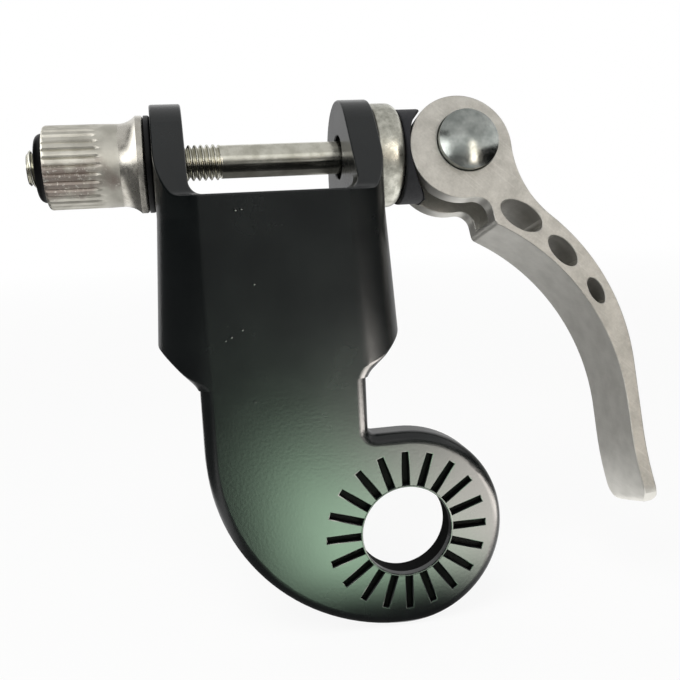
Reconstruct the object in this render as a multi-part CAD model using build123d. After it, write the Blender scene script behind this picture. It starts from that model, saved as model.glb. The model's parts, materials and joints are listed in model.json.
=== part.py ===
from build123d import *
import os
from math import asin, atan2, cos, degrees, hypot, radians, sin, sqrt

# Bike trailer hitch: a folded steel bracket that is clamped on the rear axle by its
# serrated eye, with a quick-release skewer across the two ears that take the drawbar.
# Origin: centre of the axle hole on the serrated face. +X runs along the skewer from
# the nut to the lever, +Y goes through the plate from the serrated face, +Z is up.

# Bracket plate
plate = 5.0  # thickness of the sheet
clevis_gap = 26.0  # between the ears
clevis_offset = 18.0  # axle hole to the middle of the clevis, along X
bend_inside = 3.0  # inside radius of the two folds
web_top = 55.5  # top edge of the web above the axle
edge_roll = 1.8  # rounding that blanking leaves on the front outline
flare = 2.1  # how far each flange spreads at its lower end
flare_start = 19.0  # height over which a flange spreads

# Ears and flanges
skewer_height = 60.8  # skewer axis above the axle
skewer_depth = 19.0  # skewer axis behind the front face
ear_radius = 9.5  # round of the ear about the skewer
ear_hole = 7.4  # diameter of the skewer's holes
ear_foot = 2.2  # foot of the ear's front edge, behind the front face
ear_corner = 2.0  # round at that foot
notch_corner = 2.0  # corners of the cut between the ears
flange_bottom = 33.0  # lower edge of the flanges above the axle
flange_corner = 12.0  # round where the lower edge meets the back edge

# Neck and eye
neck_width = 25.9
neck_shift = 0.55  # middle of the neck from the clevis's, towards the nut
shoulder_bottom = 26.0  # height where the neck widens to the flanges
shoulder_inside = 4.0  # rounds of the shoulder
shoulder_outside = 2.4
belly_radius = 32.0  # long curve from the neck to the underside of the eye
eye_radius = 16.5
eye_fillet = 1.2  # inside corner of the neck and the eye
axle_hole = 15.0  # diameter

# Serrations of the eye
serration_count = 20
serration_width = 0.95
serration_depth = 0.8
serration_reach = 13.3  # outer end, from the axle

# Skewer rod
shank_diameter = 5.5
thread_diameter = 5.9
thread_length = 30.9  # from the rod's end
rod_past_insert = 1.4  # how far the end stands out of the locking collar
rod_chamfer = 0.5
rod_past_pivot = 3.0  # depth of the rod's end beyond the barrel's axis

# Nut with its locking collar and washer
nut_washer_thickness = 1.0
nut_washer_bevel = 0.4  # on the rim that faces the ear
foot_diameter = 15.7  # of the nut's foot and the washer under it
foot_rim = 1.2  # straight rim of the foot
foot_length = 4.0  # rim and flare together
flare_waist = 0.3  # share of the flare's rise at the middle of its length
nut_diameter = 13.4
nut_length = 15.7  # without the collar
nut_bevel = 0.5
flute_count = 32
flute_depth = 0.3
flute_spread = 1.2  # half width of a flute over its depth
flute_length = 9.0  # to the end of its run-out
flute_fade = 1.4  # length of the run-out
flute_over = 0.3  # cutter's height above the nut
collar_diameter = 11.0
collar_seat = 3.0  # depth of the collar in the nut
collar_stand = 1.4  # what stands out of the nut
collar_taper = 0.9  # narrowing of the standing part, on the radius

# Cup washer and saddle
cup_diameter = 17.6
cup_thickness = 5.0
cup_bevel = 1.0
saddle_diameter = 16.2
saddle_drop = 0.4  # middle of its rim below the rod
saddle_waist = 0.8  # thickness behind the cam
saddle_horn = 3.4  # thickness at its two edges
saddle_spread = 0.6  # how much wider than the cam its hollow is

# Lever, drawn in a plane square to its pivot
lever_roll = 16.0  # turn of the lever about the skewer, from upright
lever_width = 12.6
cam_radius = 9.0
cam_throw = 1.45  # pivot to the middle of the cam
cam_lead = 41.0  # direction of the pivot from the middle of the cam
slot_width = 6.4
slot_floor = 10.0  # from the middle of the cam
slot_angle = -30.0  # direction in which the slot's floor faces away
neck_radius = 17.0  # hollow curve from the cam to the arm
arm_turn = 48.0  # turn of that curve, and of the arm's back
back_radius = 35.0  # round back of the arm
hollow_radius = 36.0  # hollow inner side of the arm
hollow_turn = 60.0
arm_thickness = 2.3  # at the straight end of the arm
arm_straight = 11.4  # straight length of the arm's back
hollow_straight = 4.5  # straight length of its inner side
tip_radius = 58.0  # outward flick of the tip
tip_turn = 11.0
tip_corner = 3.0  # corners of the tip, seen square to the arm
heel_rise = 1.7  # height of the heel's corner
heel_round = 1.2
heel_fillet = 2.6
window_angles = (55.5, 38.7, 22.8)  # about the round of the back
window_insets = (3.2, 3.4, 2.7)  # below that round
window_lengths = (8.0, 6.5, 4.8)
window_widths = (4.4, 3.4, 2.4)

# Pivot barrel
barrel_diameter = 10.4
barrel_stand = 1.2  # straight part beyond each side of the lever
dome_height = 1.2
dome_bands = 3  # cones that make up the dome

# Clearances
face_gap = 0.05  # between faces that bear on each other and turn
pivot_gap = 0.05  # barrel in the lever, on the radius
thread_gap = 0.05  # nut on the rod, on the radius
rod_gap = 0.4  # washers and saddle on the rod, on the radius
cam_gap = 0.3  # cam and saddle

# Places that follow
middle = -clevis_offset
inner_half = clevis_gap / 2
outer_half = inner_half + plate
bend_outside = bend_inside + plate
left_face = middle - outer_half
right_face = middle + outer_half
ear_top = skewer_height + ear_radius
flange_depth = skewer_depth + ear_radius
neck_left = middle - neck_shift - neck_width / 2
neck_right = middle - neck_shift + neck_width / 2
skewer = Axis((0, skewer_depth, skewer_height), (1, 0, 0))
skewer_plane = Plane((0, skewer_depth, skewer_height), x_dir=(1, 0, 0), z_dir=(0, -1, 0))
front_plane = Plane((0, 0, 0), x_dir=(1, 0, 0), z_dir=(0, -1, 0))
side_plane = Plane((0, 0, 0), x_dir=(0, 1, 0), z_dir=(1, 0, 0))

nut_washer_face = left_face - face_gap
nut_foot = nut_washer_face - nut_washer_thickness - face_gap
nut_end = nut_foot - nut_length
collar_end = nut_end - collar_stand
rod_start = collar_end - rod_past_insert
cup_face = right_face + face_gap
saddle_face = cup_face + cup_thickness
cam_face = saddle_face + saddle_waist + cam_gap
cam_x = cam_face + cam_radius
throw_x = cam_throw * cos(radians(cam_lead))
throw_z = cam_throw * sin(radians(cam_lead))
pivot_x = cam_x + throw_x
rod_end = pivot_x + rod_past_pivot
barrel_half = lever_width / 2 + barrel_stand
roll_sin = sin(radians(lever_roll))
roll_cos = cos(radians(lever_roll))
pivot_point = Vector(pivot_x, skewer_depth, skewer_height)
lever_plane = Plane(pivot_point, x_dir=(1, 0, 0), z_dir=(0, -roll_cos, roll_sin))
cam_plane = lever_plane.shift_origin(lever_plane.from_local_coords((-throw_x, -throw_z, 0)))


def polar(radius, angle):
    return Vector(radius * cos(radians(angle)), radius * sin(radians(angle)))


def along_skewer(diameter, start, end):
    """Round bar on the skewer's axis between two places along X."""
    section = skewer_plane * Pos((start + end) / 2, diameter / 4) * Rectangle(end - start, diameter / 2)
    return revolve(section, skewer)


def channel_section():
    """Section of the folded channel, open to the back."""
    section = make_face(
        Polyline(
            (left_face, flange_depth),
            (left_face, 0),
            (right_face, 0),
            (right_face, flange_depth),
            (right_face - plate, flange_depth),
            (right_face - plate, plate),
            (left_face + plate, plate),
            (left_face + plate, flange_depth),
            close=True,
        )
    )
    outside_corners = [v for v in section.vertices() if abs(v.Y) < 1e-6]
    section = fillet(outside_corners, bend_outside)
    inside_corners = [v for v in section.vertices() if abs(v.Y - plate) < 1e-6]
    return fillet(inside_corners, bend_inside)


def side_outline():
    """Ear and flange seen along the skewer, with Y across and Z up."""
    foot_point = Vector(ear_foot, web_top)
    reach = Vector(skewer_depth, skewer_height) - foot_point
    rise = atan2(reach.Y, reach.X) + asin(ear_radius / reach.length)
    touch = foot_point + polar(sqrt(reach.length**2 - ear_radius**2), degrees(rise))
    lines = [
        Line((0, shoulder_bottom), (0, web_top)),
        Line((0, web_top), foot_point),
        Line(foot_point, touch),
        ThreePointArc(touch, (skewer_depth, ear_top), (flange_depth, skewer_height)),
        Line((flange_depth, skewer_height), (flange_depth, flange_bottom)),
        Line((flange_depth, flange_bottom), (bend_outside, flange_bottom)),
        Line((bend_outside, flange_bottom), (plate, shoulder_bottom)),
        Line((plate, shoulder_bottom), (0, shoulder_bottom)),
    ]
    outline = make_face(lines)
    foot = outline.vertices().sort_by_distance(foot_point)[0]
    outline = fillet(foot, ear_corner)
    corner = outline.vertices().sort_by_distance((flange_depth, flange_bottom, 0))[0]
    return fillet(corner, flange_corner)


def shoulder_outline():
    """Front view of the flanged part: shoulders that widen from the neck."""
    left = left_face - flare
    right = right_face + flare
    base = shoulder_bottom - shoulder_inside
    outline = make_face(
        Polyline(
            (neck_left, base),
            (neck_left, shoulder_bottom),
            (left, flange_bottom),
            (left, ear_top),
            (right, ear_top),
            (right, flange_bottom),
            (neck_right, shoulder_bottom),
            (neck_right, base),
            close=True,
        )
    )
    inside = [v for v in outline.vertices() if abs(v.Y - shoulder_bottom) < 1e-6]
    outline = fillet(inside, shoulder_inside)
    outside = [v for v in outline.vertices() if abs(v.Y - flange_bottom) < 1e-6]
    return fillet(outside, shoulder_outside)


def eye_outline():
    """Front view of the web, the neck and the eye."""
    belly_x = neck_left + belly_radius
    belly_z = sqrt((belly_radius - eye_radius) ** 2 - belly_x**2)
    away = degrees(atan2(-belly_z, -belly_x))
    touch = polar(eye_radius, away)
    belly_mid = Vector(belly_x, belly_z) + polar(belly_radius, (180 + away + 360) / 2)
    lines = [
        Line((neck_left, web_top), (neck_left, belly_z)),
        ThreePointArc(Vector(neck_left, belly_z), belly_mid, touch),
        ThreePointArc(touch, polar(eye_radius, (away + 90) / 2), (0, eye_radius)),
        Line((0, eye_radius), (neck_right, eye_radius)),
        Line((neck_right, eye_radius), (neck_right, web_top)),
        Line((neck_right, web_top), (neck_left, web_top)),
    ]
    outline = make_face(lines)
    inside = outline.vertices().sort_by_distance((neck_right, eye_radius, 0))[0]
    return fillet(inside, eye_fillet)


def make_bracket():
    flare_top = flange_bottom + flare_start
    section = Pos(0, 0, flare_top) * channel_section()
    channel = extrude(section, ear_top - flare_top)
    drop = flare_top - shoulder_bottom + shoulder_inside
    for side in (-1, 1):
        half = section & Pos(middle + side * outer_half / 2, flange_depth / 2, flare_top) * Rectangle(
            outer_half, flange_depth
        )
        slope = Vector(side * flare, 0, -drop)
        channel += extrude(half, slope.length, dir=slope)
    web = Pos(middle, plate / 2, flare_top) * Rectangle(inner_half, plate)
    channel += extrude(web, -drop)
    reach = outer_half + flare
    channel &= Pos(middle - reach, 0, 0) * extrude(side_plane * side_outline(), 2 * reach)
    shoulders = Pos(0, flange_depth, 0) * extrude(front_plane * shoulder_outline(), flange_depth)
    base = shoulder_bottom - shoulder_inside
    front = [e for e in shoulders.edges() if e.bounding_box().max.Y < 1e-6]
    channel &= fillet([e for e in front if base < e.center().Z < web_top], edge_roll)
    gap = Pos(middle, web_top + ear_top) * RectangleRounded(clevis_gap, 2 * ear_top, notch_corner)
    channel -= Pos(0, flange_depth, 0) * extrude(front_plane * gap, flange_depth)
    blank = Pos(0, plate, 0) * extrude(front_plane * eye_outline(), plate)
    rim = [e for e in blank.edges() if abs(e.center().Y) < 1e-6 and e.center().Z < web_top - edge_roll]
    blank = fillet(rim, edge_roll)
    bracket = channel + blank
    bracket -= along_skewer(ear_hole, left_face - flare, right_face + flare)
    bracket -= extrude(front_plane * Circle(axle_hole / 2), plate, both=True)
    inner = axle_hole / 2 - serration_width
    tooth = Pos((inner + serration_reach) / 2, 0) * Rectangle(serration_reach - inner, serration_width)
    teeth = Sketch() + PolarLocations(0, serration_count) * tooth
    return bracket - extrude(front_plane * teeth, serration_depth, both=True)


def make_rod():
    thread = along_skewer(thread_diameter, rod_start, rod_start + thread_length)
    tip = thread.edges().sort_by(Axis.X)[0]
    return chamfer(tip, rod_chamfer) + along_skewer(shank_diameter, rod_start + thread_length, rod_end)


def make_barrel():
    radius = barrel_diameter / 2
    ball = (radius**2 + dome_height**2) / (2 * dome_height)
    lean = degrees(asin(radius / ball))
    top = Vector(0, barrel_half + dome_height)
    bands = [top - Vector(0, ball) + polar(ball, 90 - lean * (1 - i / dome_bands)) for i in range(dome_bands)]
    half = make_face(Polyline((0, 0), (radius, 0), *bands, top, close=True))
    upright = Plane(pivot_point, x_dir=lever_plane.x_dir, z_dir=-lever_plane.y_dir)
    end = revolve(upright * half, Axis(pivot_point, lever_plane.z_dir))
    barrel = end + mirror(end, lever_plane)
    return barrel - along_skewer(shank_diameter, pivot_x - barrel_diameter, rod_end)


def lever_outline():
    """Outline of the lever about the middle of its cam."""
    turn = radians(arm_turn)
    root = Vector(cam_radius + neck_radius * (1 - cos(turn)), -neck_radius * sin(turn))
    back_center = root - polar(back_radius, arm_turn)
    knee = back_center + Vector(back_radius, 0)
    flick_start = knee - Vector(0, arm_straight)
    flick_center = flick_start + Vector(tip_radius, 0)
    outer_tip = flick_center + polar(tip_radius, 180 + tip_turn)
    inner_tip = flick_center + polar(tip_radius + arm_thickness, 180 + tip_turn)
    tip_end = flick_center + polar(tip_radius + arm_thickness / 2, 180 + tip_turn) + polar(
        arm_thickness / 2, tip_turn - 90
    )
    inner_start = flick_start - Vector(arm_thickness, 0)
    inner_knee = inner_start + Vector(0, hollow_straight)
    hollow_center = inner_knee - Vector(hollow_radius, 0)
    hollow_end = hollow_center + polar(hollow_radius, hollow_turn)
    heel = hollow_end + polar(heel_rise, 90 + hollow_turn)
    neck_center = Vector(cam_radius + neck_radius, 0)
    lines = [
        ThreePointArc(Vector(cam_radius, 0), neck_center + polar(neck_radius, 180 + arm_turn / 2), root),
        ThreePointArc(root, back_center + polar(back_radius, arm_turn / 2), knee),
        Line(knee, flick_start),
        ThreePointArc(flick_start, flick_center + polar(tip_radius, 180 + tip_turn / 2), outer_tip),
        ThreePointArc(outer_tip, tip_end, inner_tip),
        ThreePointArc(
            inner_tip, flick_center + polar(tip_radius + arm_thickness, 180 + tip_turn / 2), inner_start
        ),
        Line(inner_start, inner_knee),
        ThreePointArc(inner_knee, hollow_center + polar(hollow_radius, hollow_turn / 2), hollow_end),
        Line(hollow_end, heel),
        Line(heel, (heel.X - heel_rise, 0)),
        Line((heel.X - heel_rise, 0), (cam_radius, 0)),
    ]
    outline = make_face(lines) + Circle(cam_radius)
    corner = outline.vertices().sort_by_distance((heel.X, heel.Y, 0))[0]
    outline = fillet(corner, heel_round)
    under_cam = [v for v in outline.vertices() if v.Y < -cam_radius / 2]
    crease = [v for v in under_cam if abs(hypot(v.X, v.Y) - cam_radius) < 1e-4]
    outline = fillet(crease, heel_fillet)
    for angle, inset, length, width in zip(window_angles, window_insets, window_lengths, window_widths):
        place = back_center + polar(back_radius - inset, angle)
        outline -= Pos(place.X, place.Y) * Rot(0, 0, angle - 90) * Ellipse(length / 2, width / 2)
    return outline, -tip_end.Y


def make_lever():
    outline, drop = lever_outline()
    lever = extrude(cam_plane * outline, lever_width / 2, both=True)
    broad = Plane(cam_plane.origin, x_dir=lever_plane.z_dir, z_dir=lever_plane.x_dir)
    lever &= extrude(broad * RectangleRounded(lever_width, 2 * drop, tip_corner), drop, both=True)
    reach = slot_floor + 2 * cam_radius
    slot = Pos(slot_floor - reach / 2, 0) * Rectangle(reach, 3 * reach)
    lever -= extrude(cam_plane * Rot(0, 0, slot_angle) * slot, slot_width / 2, both=True)
    return lever - extrude(lever_plane * Circle(barrel_diameter / 2 + pivot_gap), lever_width, both=True)


def make_cup_washer():
    ring = along_skewer(cup_diameter, cup_face, saddle_face)
    rims = ring.edges().filter_by(GeomType.CIRCLE)
    ring = chamfer(rims, cup_bevel)
    return ring - along_skewer(shank_diameter + 2 * rod_gap, cup_face, saddle_face)


def make_saddle():
    horn_face = saddle_face + saddle_waist + saddle_horn
    block = Pos(0, 0, -saddle_drop) * along_skewer(saddle_diameter, saddle_face, horn_face)
    hollow = cam_plane * Pos(saddle_spread, 0) * Circle(cam_radius + cam_gap + saddle_spread)
    block -= extrude(hollow, saddle_diameter, both=True)
    return block - along_skewer(shank_diameter + 2 * rod_gap, saddle_face, horn_face)


def make_flute():
    """Cutter of one flute: a notch seen along the nut, crossed with its run-out."""
    low = nut_diameter / 2 - flute_depth
    top = nut_diameter / 2 + flute_over
    half = (top - low) * flute_spread
    notch = make_face(Polyline((low, 0), (top, half), (top, -half), close=True))
    run = make_face(
        Polyline(
            (low, -flute_over),
            (low, flute_length - flute_fade),
            (top, flute_length),
            (top, -flute_over),
            close=True,
        )
    )
    groove = Pos(0, 0, -flute_over) * extrude(notch, flute_over + flute_length)
    return groove & extrude(Plane.XZ.offset(-half) * run, 2 * half)


def make_nut():
    foot = foot_diameter / 2
    body = nut_diameter / 2
    flare_end = nut_foot - foot_length
    rim_end = nut_foot - foot_rim
    section = make_face(
        Polyline(
            (nut_foot, 0),
            (nut_foot, foot),
            (rim_end, foot),
            ((rim_end + flare_end) / 2, body + (foot - body) * flare_waist),
            (flare_end, body),
            (nut_end, body),
            (nut_end, 0),
            close=True,
        )
    )
    corner = section.vertices().sort_by_distance((nut_end, body, 0))[0]
    section = chamfer(corner, nut_bevel)
    nut = revolve(skewer_plane * section, skewer)
    lying = Plane((nut_end, skewer_depth, skewer_height), x_dir=(0, 1, 0), z_dir=(1, 0, 0))
    nut -= lying * (Part() + PolarLocations(0, flute_count) * make_flute())
    nut -= along_skewer(thread_diameter + 2 * thread_gap, nut_end, nut_foot)
    return nut - along_skewer(collar_diameter, nut_end, nut_end + collar_seat)


def make_collar():
    radius = collar_diameter / 2
    seat = nut_end + collar_seat
    section = make_face(
        Polyline(
            (seat, 0),
            (seat, radius),
            (nut_end, radius),
            (collar_end, radius - collar_taper),
            (collar_end, 0),
            close=True,
        )
    )
    collar = revolve(skewer_plane * section, skewer)
    return collar - along_skewer(thread_diameter + 2 * thread_gap, collar_end, seat)


def make_nut_washer():
    start = nut_washer_face - nut_washer_thickness
    washer = along_skewer(foot_diameter, start, nut_washer_face)
    rim = washer.edges().filter_by(GeomType.CIRCLE).sort_by(Axis.X)[-1]
    washer = chamfer(rim, nut_washer_bevel)
    return washer - along_skewer(thread_diameter + 2 * rod_gap, start, nut_washer_face)


pieces = {
    "hitch_bracket": make_bracket(),
    "skewer_rod": make_rod(),
    "pivot_barrel": make_barrel(),
    "cam_lever": make_lever(),
    "cam_saddle": make_saddle(),
    "cup_washer": make_cup_washer(),
    "thumb_nut": make_nut(),
    "nylon_insert": make_collar(),
    "nut_washer": make_nut_washer(),
}

os.makedirs("parts", exist_ok=True)
for name, piece in pieces.items():
    export_step(piece, f"parts/{name}.step")
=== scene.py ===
import json
import math
import bmesh
import bpy
from mathutils import Matrix, Vector
from mathutils.bvhtree import BVHTree


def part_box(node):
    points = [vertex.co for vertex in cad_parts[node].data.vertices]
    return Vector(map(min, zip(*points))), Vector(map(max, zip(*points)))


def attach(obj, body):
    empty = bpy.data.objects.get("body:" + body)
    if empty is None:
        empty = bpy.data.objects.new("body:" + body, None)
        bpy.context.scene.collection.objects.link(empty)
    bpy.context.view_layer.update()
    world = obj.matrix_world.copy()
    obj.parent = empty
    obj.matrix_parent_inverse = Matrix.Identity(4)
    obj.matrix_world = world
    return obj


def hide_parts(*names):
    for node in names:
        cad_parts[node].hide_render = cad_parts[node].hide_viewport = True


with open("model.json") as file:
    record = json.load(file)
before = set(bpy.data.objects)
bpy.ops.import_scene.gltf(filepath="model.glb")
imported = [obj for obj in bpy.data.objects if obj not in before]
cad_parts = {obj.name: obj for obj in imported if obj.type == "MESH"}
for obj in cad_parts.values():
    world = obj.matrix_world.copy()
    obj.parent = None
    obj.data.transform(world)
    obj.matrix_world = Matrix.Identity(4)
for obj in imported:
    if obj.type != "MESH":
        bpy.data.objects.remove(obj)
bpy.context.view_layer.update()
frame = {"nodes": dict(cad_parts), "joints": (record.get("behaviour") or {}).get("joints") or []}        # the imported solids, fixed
for stray in ("Cube", "Light", "Camera"):
    if stray in bpy.data.objects:
        bpy.data.objects.remove(bpy.data.objects[stray])
mm = 0.001
creases = {"turned": 32, "thread": 50, "flutes": 28}        # degrees from which an edge is drawn sharp

joints = {joint["name"]: joint for joint in frame["joints"]}
skewerAt = Vector((0, *joints["skewer_turn"]["pos_m"][1:]))
skewerAxis = Vector((1, 0, 0))
pivotAt = Vector(joints["lever_swing"]["pos_m"])
pivotAxis = Vector(joints["lever_swing"]["axis"]).normalized()      # out of the lever's near side


def linear(hexText):
    parts = [int(hexText[i:i + 2], 16) / 255 for i in (1, 3, 5)]
    return [p / 12.92 if p <= 0.04045 else ((p + 0.055) / 1.055) ** 2.4 for p in parts] + [1.0]


# Adds a node, sets it and links it: a value may be a number, a socket or another node
def addNode(tree, kind, links=None, **settings):
    made = tree.nodes.new(kind)
    for key, value in settings.items():
        setattr(made, key, value)
    for key, value in (links or {}).items():
        if isinstance(value, bpy.types.Node):
            value = next(socket for socket in value.outputs if socket.enabled)
        if isinstance(value, bpy.types.NodeSocket):
            tree.links.new(value, made.inputs[key])
        else:
            made.inputs[key].default_value = value
    return made


def newMaterial(name):
    made = bpy.data.materials.new(name)
    made.use_nodes = True
    tree = made.node_tree
    tree.nodes.clear()
    return made, tree, addNode(tree, "ShaderNodeTexCoord").outputs["Object"]


def closeMaterial(tree, shader):
    addNode(tree, "ShaderNodeOutputMaterial", {"Surface": shader})


# Two shades mixed by a pattern
def twoTone(tree, pattern, span, shades):
    share = addNode(tree, "ShaderNodeMapRange", {"Value": pattern, "From Min": span[0], "From Max": span[1]})
    first, second = (linear(shade) for shade in shades)
    return addNode(tree, "ShaderNodeMix", {"Factor": share, "A": first, "B": second}, data_type="RGBA")


# Ends a material: one pattern sets its gloss, another its relief; without an ior it is a metal
def closeSurface(tree, look, shade, gloss, height):
    rough = look["rough"]
    if gloss is not None:
        span = look["glossSpan"]
        rough = addNode(tree, "ShaderNodeMapRange",
                        {"Value": gloss, "From Min": span[0], "From Max": span[1],
                         "To Min": rough[0], "To Max": rough[1]})
    bump = addNode(tree, "ShaderNodeBump",
                   {"Height": height, "Strength": look["bump"], "Distance": look["depth"]})
    kind = {"IOR": look["ior"]} if "ior" in look else {"Metallic": 1.0}
    closeMaterial(tree, addNode(tree, "ShaderNodeBsdfPrincipled",
                                {"Base Color": shade, "Roughness": rough, "Normal": bump, **kind}))


# Black powder coat on steel, sprayed and baked: near black, a soft gloss and a fine orange peel
def blackPowderCoat():
    look = {"shades": ("#080b0c", "#101414"), "tones": (0.3, 0.75), "cloud": 14 * mm, "peel": 0.5 * mm,
            "glossSpan": (0.3, 0.7), "rough": (0.22, 0.29), "bump": 0.42, "depth": 0.03 * mm, "ior": 1.5}
    material, tree, place = newMaterial("blackPowderCoat")
    cloud = addNode(tree, "ShaderNodeTexNoise",
                    {"Vector": place, "Scale": 1 / look["cloud"], "Detail": 4.0, "Roughness": 0.6})
    peel = addNode(tree, "ShaderNodeTexNoise", {"Vector": place, "Scale": 1 / look["peel"], "Detail": 2.0})
    closeSurface(tree, look, twoTone(tree, cloud, look["tones"], look["shades"]), cloud, peel)
    return material


# Zinc-plated steel rod, cold drawn: bright and a little warm, with lines along it, coarser than real to show
def zincPlatedSteel():
    look = {"shades": ("#bfbdaf", "#dcdacd"), "tones": (0.35, 0.6), "line": 0.25 * mm, "run": 9 * mm,
            "mottle": 2.2 * mm, "glossSpan": (0.3, 0.7), "rough": (0.11, 0.26), "bump": 0.12,
            "depth": 0.02 * mm}
    material, tree, place = newMaterial("zincPlatedSteel")
    drawn = addNode(tree, "ShaderNodeMapping",
                    {"Vector": place, "Scale": (1 / look["run"], 1 / look["line"], 1 / look["line"])})
    lines = addNode(tree, "ShaderNodeTexNoise", {"Vector": drawn, "Scale": 1.0, "Detail": 3.0})
    mottle = addNode(tree, "ShaderNodeTexNoise",
                     {"Vector": place, "Scale": 1 / look["mottle"], "Detail": 5.0})
    closeSurface(tree, look, twoTone(tree, mottle, look["tones"], look["shades"]), lines, lines)
    return material


# Polished metal, nickel plate on the barrel and bare aluminium on the nut's foot: a mirror with marks
def polishedMetal(name, shades, rough):
    look = {"tones": (0.35, 0.65), "cloud": 2.4 * mm, "mark": 0.9 * mm, "glossSpan": (0.35, 0.75),
            "rough": (rough, rough + 0.14), "bump": 0.08, "depth": 0.02 * mm}
    material, tree, place = newMaterial(name)
    cloud = addNode(tree, "ShaderNodeTexNoise", {"Vector": place, "Scale": 1 / look["cloud"], "Detail": 5.0})
    mark = addNode(tree, "ShaderNodeTexNoise",
                   {"Vector": place, "Scale": 1 / look["mark"], "Detail": 6.0, "Distortion": 1.5})
    closeSurface(tree, look, twoTone(tree, cloud, look["tones"], shades), mark, mark)
    return material


# Zinc plate on a pressed washer: milky patches and small dents that break up its highlight
def mottledZinc():
    look = {"shades": ("#a2a196", "#d4d3c7"), "tones": (0.38, 0.62), "patch": 1.6 * mm, "dent": 2.6 * mm,
            "glossSpan": (0.35, 0.65), "rough": (0.4, 0.24), "bump": 0.3, "depth": 0.12 * mm}
    material, tree, place = newMaterial("mottledZinc")
    patch = addNode(tree, "ShaderNodeTexNoise",
                    {"Vector": place, "Scale": 1 / look["patch"], "Detail": 6.0, "Roughness": 0.65})
    dent = addNode(tree, "ShaderNodeTexNoise", {"Vector": place, "Scale": 1 / look["dent"], "Detail": 2.0})
    closeSurface(tree, look, twoTone(tree, patch, look["tones"], look["shades"]), patch, dent)
    return material


# Extruded aluminium, sawn to slices and tumbled: an even warm grey, dull, with faint slanting saw marks;
# its grit and saw marks are coarser than real ones, to show
def tumbledAluminium():
    look = {"shades": ("#b8b6af", "#cccac3"), "tones": (0.58, 0.92), "mark": "#e4e2dc", "cloud": 3.5 * mm,
            "grit": 0.4 * mm, "gritShare": 0.5, "saw": 0.35 * mm, "sawRun": 5 * mm,
            "sawTurn": math.radians(48), "sawSpan": (0.56, 0.74), "sawShare": 0.3,
            "glossSpan": (0.3, 0.7), "rough": (0.55, 0.45), "bump": 0.25, "depth": 0.03 * mm}
    material, tree, place = newMaterial("tumbledAluminium")
    cloud = addNode(tree, "ShaderNodeTexNoise",
                    {"Vector": place, "Scale": 1 / look["cloud"], "Detail": 5.0, "Roughness": 0.6})
    grit = addNode(tree, "ShaderNodeTexNoise",
                   {"Vector": place, "Scale": 1 / look["grit"], "Detail": 3.0, "Roughness": 0.6})
    slant = addNode(tree, "ShaderNodeMapping", {"Vector": place, "Rotation": (0.0, look["sawTurn"], 0.0)})
    sawn = addNode(tree, "ShaderNodeMapping",
                   {"Vector": slant, "Scale": (1 / look["saw"], 1 / look["sawRun"], 1 / look["sawRun"])})
    saw = addNode(tree, "ShaderNodeTexNoise", {"Vector": sawn, "Scale": 1.0, "Detail": 3.0})
    speck = addNode(tree, "ShaderNodeMath", {0: grit, 1: look["gritShare"], 2: cloud},
                    operation="MULTIPLY_ADD")
    streak = addNode(tree, "ShaderNodeMapRange",
                     {"Value": saw, "From Min": look["sawSpan"][0], "From Max": look["sawSpan"][1],
                      "To Max": look["sawShare"]})
    shade = addNode(tree, "ShaderNodeMix",
                    {"Factor": streak, "A": twoTone(tree, speck, look["tones"], look["shades"]),
                     "B": linear(look["mark"])}, data_type="RGBA")
    closeSurface(tree, look, shade, cloud, grit)
    return material


# The same aluminium as the die leaves it: smooth, with fine lines across the lever, coarser than real to show
def extrudedAluminium(name, shades, rough):
    look = {"tones": (0.35, 0.65), "line": 0.3 * mm, "run": 8 * mm, "cloud": 3 * mm, "glossSpan": (0.3, 0.7),
            "rough": (rough - 0.04, rough + 0.06), "bump": 0.1, "depth": 0.03 * mm}
    material, tree, place = newMaterial(name)
    drawn = addNode(tree, "ShaderNodeMapping",
                    {"Vector": place, "Scale": (1 / look["line"], 1 / look["run"], 1 / look["line"])})
    lines = addNode(tree, "ShaderNodeTexNoise", {"Vector": drawn, "Scale": 1.0, "Detail": 3.0})
    cloud = addNode(tree, "ShaderNodeTexNoise", {"Vector": place, "Scale": 1 / look["cloud"], "Detail": 5.0})
    closeSurface(tree, look, twoTone(tree, cloud, look["tones"], shades), lines, lines)
    return material


# Aluminium edge with the burr the saw left, rubbed by handling, in broken dashes; its near-white colour is
# partly a painted highlight
def burnishedEdge():
    look = {"shades": ("#a8a6a0", "#fbfaf6"), "tones": (0.52, 0.6), "dash": 1.2 * mm, "rough": 0.4,
            "bump": 0.4, "depth": 0.1 * mm}
    material, tree, place = newMaterial("burnishedEdge")
    dash = addNode(tree, "ShaderNodeTexNoise", {"Vector": place, "Scale": 1 / look["dash"], "Detail": 5.0})
    closeSurface(tree, look, twoTone(tree, dash, look["tones"], look["shades"]), None, dash)
    return material
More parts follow.
